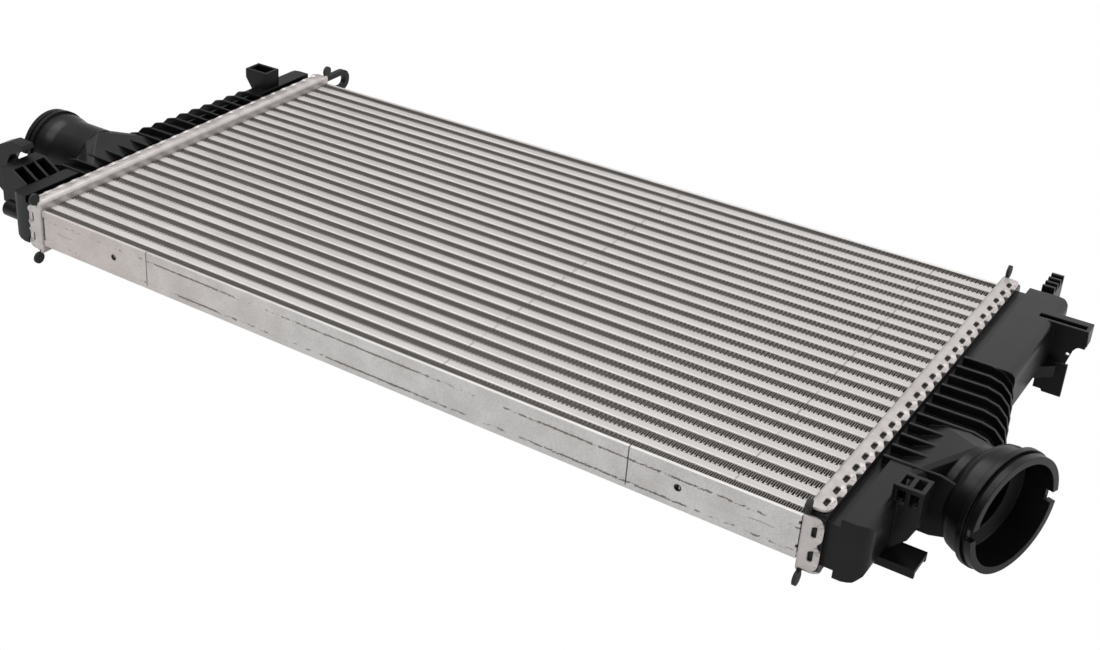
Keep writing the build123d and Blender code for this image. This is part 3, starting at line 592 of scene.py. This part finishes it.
def smooth_copy(node_name, suffix, finish):
    """Copy of a solid with its loose triangles joined, so that its curved faces shade as curves."""
    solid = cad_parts[node_name].data
    points, corners = np.empty(3 * len(solid.vertices)), np.empty(len(solid.loops), dtype=np.int64)
    solid.vertices.foreach_get("co", points)
    solid.loops.foreach_get("vertex_index", corners)
    points = points.reshape(-1, 3)
    _, kept, joined = np.unique(np.round(points / WELD), axis=0, return_index=True, return_inverse=True)
    triangles = joined.ravel()[corners].reshape(-1, 3)
    whole = (triangles != np.roll(triangles, 1, axis=1)).all(1)
    seat(surface(f"{node_name}_{suffix}", points[kept], triangles[whole], finish), node_name)


def paint(node_name, finish):
    """A solid that keeps its own mesh gets its finish."""
    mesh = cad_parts[node_name].data
    mesh.materials.clear()
    mesh.materials.append(finish)


def camera():
    """The photograph's camera, from a fit of its straight lines and its circles."""
    right = Vector((0.80541, 0.59222, 0.02416))
    down = Vector((0.28474, -0.35085, -0.89209))
    forward = Vector((-0.51984, 0.72538, -0.45120))
    lens = bpy.data.cameras.new("camera")
    lens.sensor_fit = "HORIZONTAL"
    lens.sensor_width = SENSOR_WIDTH
    lens.lens = FOCAL_PIXELS * SENSOR_WIDTH / PHOTO_WIDTH
    lens.shift_x = (PHOTO_WIDTH / 2 - AXIS_PIXEL_X) / PHOTO_WIDTH
    lens.shift_y = (AXIS_PIXEL_Y - PHOTO_HEIGHT / 2) / PHOTO_WIDTH
    made = bpy.data.objects.new("camera", lens)
    turn = Matrix((right, -down, -forward)).transposed().to_4x4()
    made.matrix_world = Matrix.Translation(CORE + CAMERA_FROM_CORE) @ turn
    bpy.context.scene.collection.objects.link(made)
    bpy.context.scene.camera = made


def softbox(name, place, watts, width, height):
    """Flat studio lamp that faces the core; place is in metres from it."""
    light = bpy.data.lights.new(name, "AREA")
    light.shape = "RECTANGLE"
    light.energy, light.size, light.size_y = watts, width, height
    made = bpy.data.objects.new(name, light)
    made.location = CORE + Vector(place)
    made.rotation_euler = (CORE - made.location).to_track_quat("-Z", "Y").to_euler()
    bpy.context.scene.collection.objects.link(made)


def brightness(tree, by_eye, by_mirror, by_light):
    """One strength for what the eye sees, one for what shiny things mirror and one to light matt things."""
    rays = node(tree, "ShaderNodeLightPath").outputs
    mirrored = ramp(tree, rays["Is Glossy Ray"], 0, 1, by_light, by_mirror)
    shown = node(tree, "ShaderNodeMix", {0: rays["Is Camera Ray"], 2: mirrored, 3: by_eye})
    return shown.outputs[0]


def studio():
    """White backdrop and floor for the eye, dimmer ones for mirrors, and four softboxes."""
    world = bpy.data.worlds.new("studio")
    bpy.context.scene.world = world
    world.use_nodes = True
    tree = world.node_tree
    towards = node(tree, "ShaderNodeTexCoord").outputs["Generated"]
    sideways, depth, _ = node(tree, "ShaderNodeSeparateXYZ", {"Vector": towards}).outputs
    behind = ramp(tree, depth, -0.8, 0.3, 0.2, 0.64)
    mirrored = maths(tree, "MULTIPLY", behind, ramp(tree, sideways, -0.65, -0.2, 0.64, 1.85))
    dress(tree, tree.nodes["Background"], Color=WHITE, Strength=brightness(tree, 1.0, mirrored, 0.4))
    made, tree, shader, _ = material("pale_floor")
    dress(tree, shader, Base_Color=linear("#F4F4F4"), Roughness=1.0)
    glow = node(tree, "ShaderNodeEmission", {"Color": WHITE, "Strength": 1.0})
    mixed = node(tree, "ShaderNodeMixShader", {
        0: brightness(tree, 1.0, 0.3, 0.0), 1: shader.outputs["BSDF"], 2: glow.outputs["Emission"],
    })
    tree.links.new(mixed.outputs["Shader"], tree.nodes["Material Output"].inputs["Surface"])
    corners = np.array([[-1, -1, 0], [1, -1, 0], [1, 1, 0], [-1, 1, 0]]) * FLOOR_REACH
    floor = surface("floor", corners, np.array([[0, 1, 2, 3]]), made)
    softbox("lamp_above", (-0.9, 0.1, 1.9), 22, 1.3, 1.3)
    softbox("lamp_edges", (-1.0, -0.9, 1.45), 5, 0.6, 0.6)
    softbox("lamp_front", (0.1, -2.3, 0.7), 6.5, 1.4, 0.9)
    softbox("lamp_right", (2.2, 0.1, 0.9), 7, 0.8, 1.0)


camera()
studio()

tube_finish = brazed_tube_aluminium()
fin_finish = louvred_fin_aluminium()
plate_finish = rolled_plate_aluminium()
header_finish = pressed_header_aluminium()
nylon_finish = moulded_nylon()
rubber_finish = gasket_rubber()

chance = np.random.default_rng(SEED)
for number in range(1, TUBE_COUNT + 1):
    flat_tube(number, tube_finish)
for number in range(1, FIN_COUNT + 1):
    fin_strip(number, fin_finish, chance)
for side in ("left", "right"):
    header(side, header_finish)
    smooth_copy(f"tank_{side}", "moulded", nylon_finish)
    smooth_copy(f"gasket_{side}", "rubber", rubber_finish)
for side in ("near", "far"):
    paint(f"side_plate_{side}", plate_finish)
paint("turbulators", fin_finish)

bpy.context.scene.view_settings.view_transform = "Standard"
